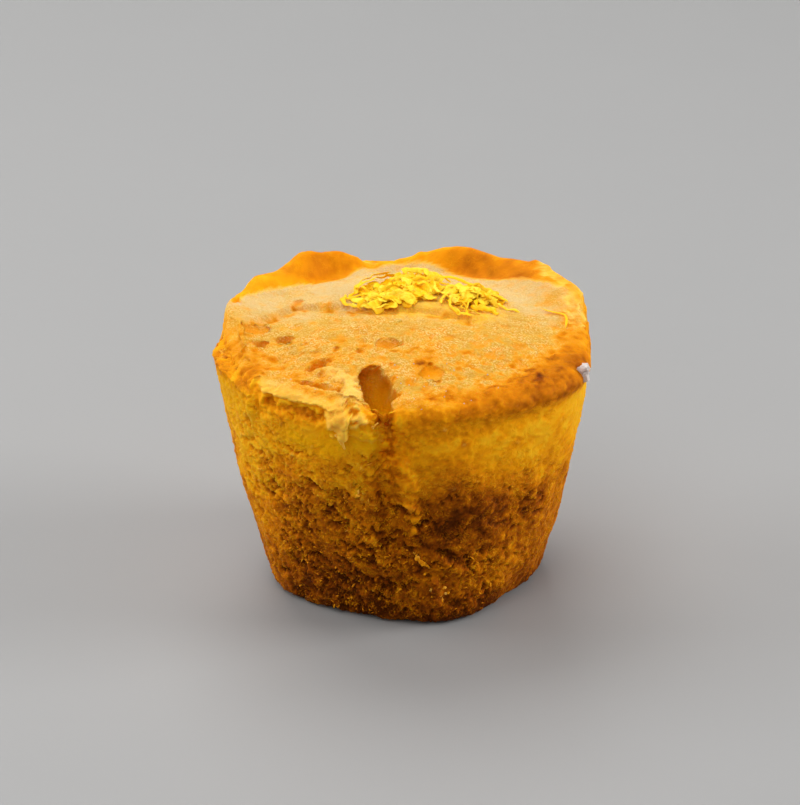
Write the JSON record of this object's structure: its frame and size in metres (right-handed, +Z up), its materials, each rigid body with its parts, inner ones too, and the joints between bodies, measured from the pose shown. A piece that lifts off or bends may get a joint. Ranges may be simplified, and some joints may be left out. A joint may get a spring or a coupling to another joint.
{
  "type": "financier cake",
  "caption": "Small round lemon financier with a tapered browned wall, a flat golden top torn open at its front edge, and a tangle of lemon zest.",
  "frame": {"origin": "middle of the flat base that the cake stands on", "axes": "+Z up, +X to the right seen from the front, and the torn edge of the crust at the front on -Y"},
  "size_m": [0.0489, 0.0486, 0.0391],
  "materials": {
    "baked_cake": "golden baked crust with browned sides and open crumb",
    "lemon_zest": "moist fine shreds of lemon peel"
  },
  "bodies": {
    "root": {"cake": "baked_cake", "zest": "lemon_zest"}
  },
  "joints": []
}
